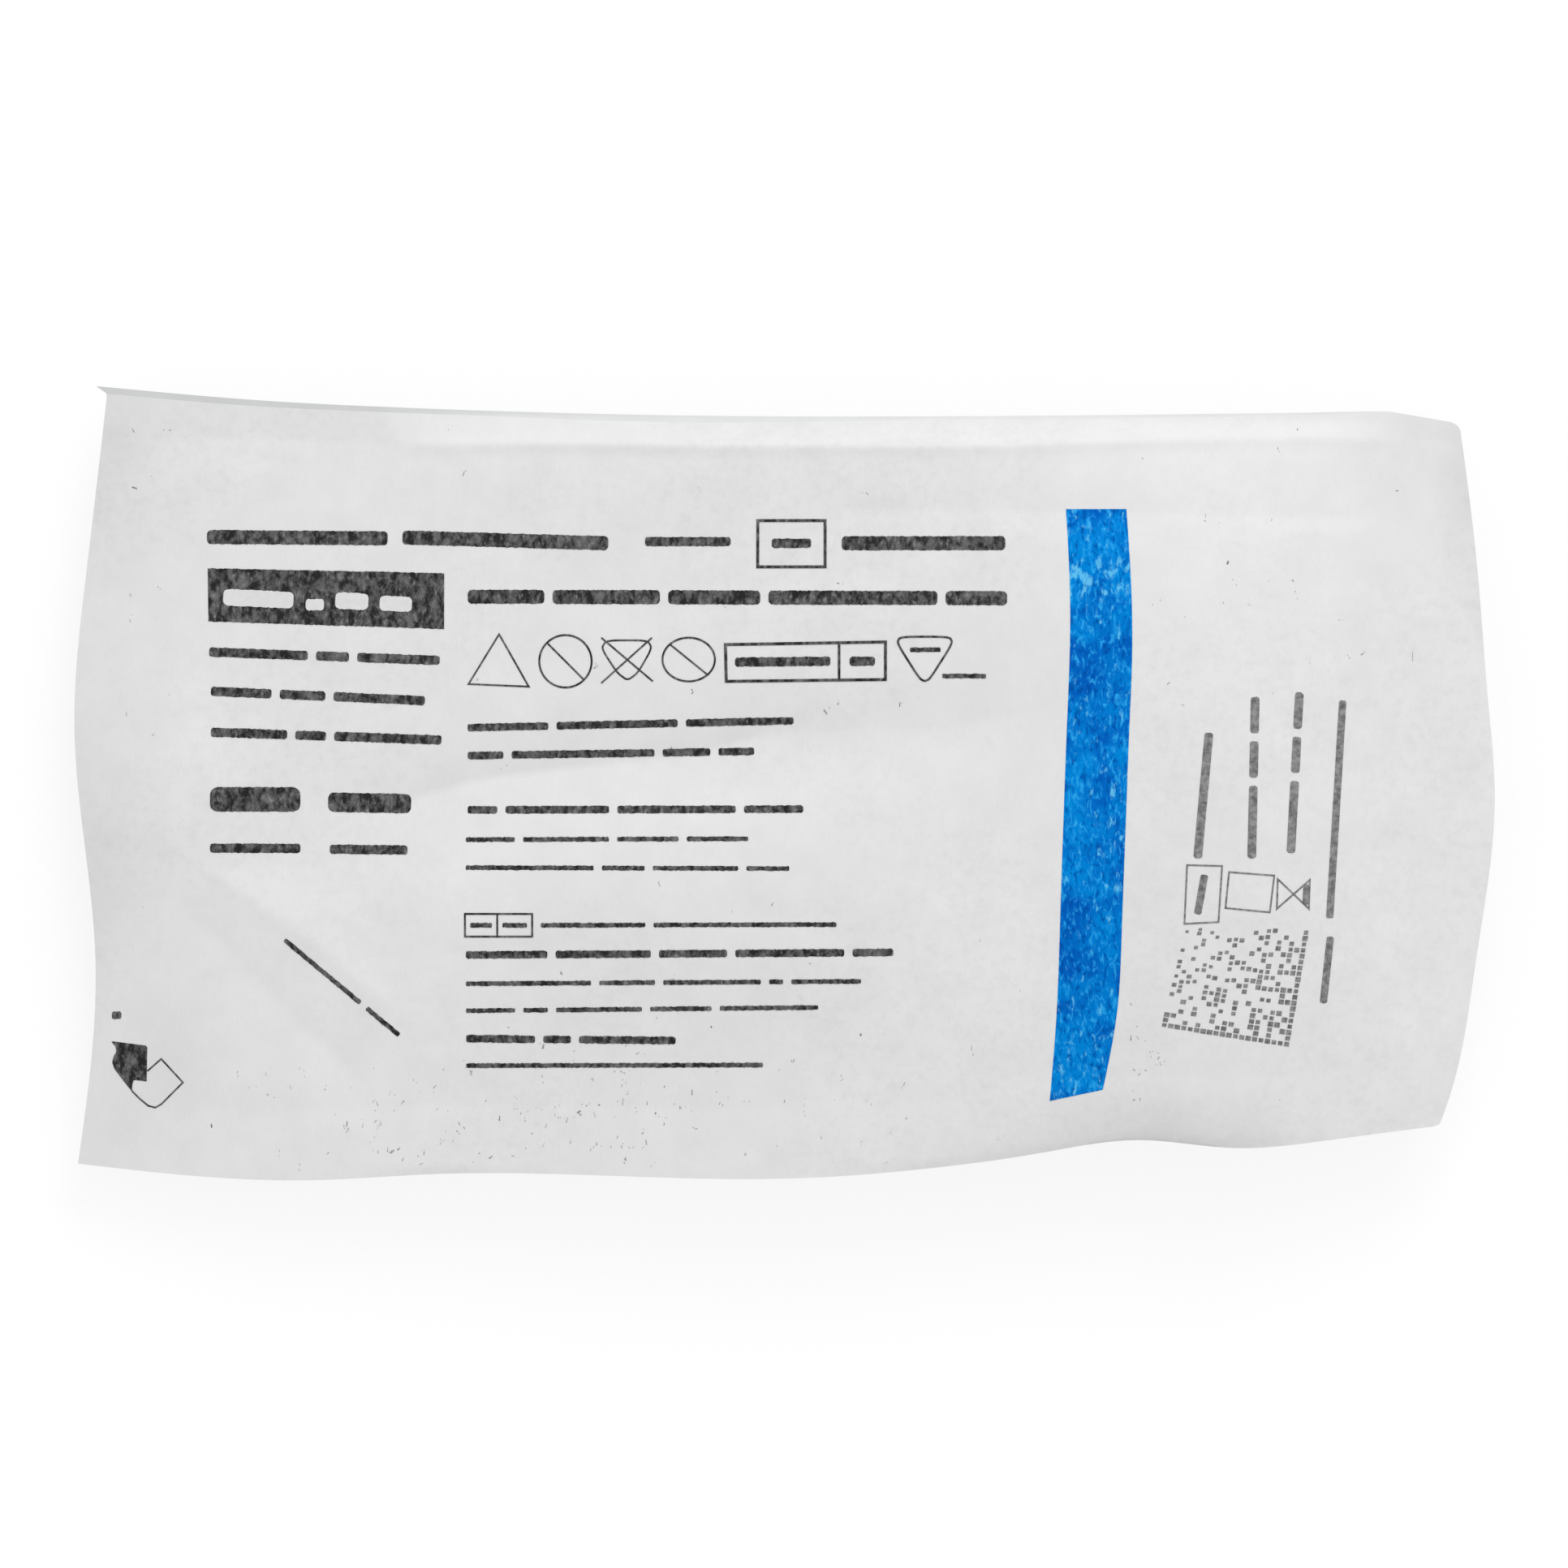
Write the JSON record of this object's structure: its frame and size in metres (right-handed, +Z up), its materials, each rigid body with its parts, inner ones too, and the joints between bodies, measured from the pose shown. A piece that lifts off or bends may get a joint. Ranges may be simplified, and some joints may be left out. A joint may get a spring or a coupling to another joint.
{
  "type": "sealed sterile pouch",
  "caption": "Closed peel pouch of a small medical set: paper front welded to a film back all round, the paper taut over two low bulges, with folded and drooping edges.",
  "frame": {"origin": "middle of the laid pouch, on the surface it rests on", "axes": "+X along the pouch towards the end with the ink stripe, +Y across it towards the folded long edge, +Z up out of the paper face"},
  "size_m": [0.163, 0.0913, 0.0178],
  "materials": {
    "pouch_web": "matte spun-fibre medical paper, with an ink stripe and plain printed bars"
  },
  "bodies": {
    "root": {"sealed_pouch": "pouch_web"}
  },
  "joints": []
}
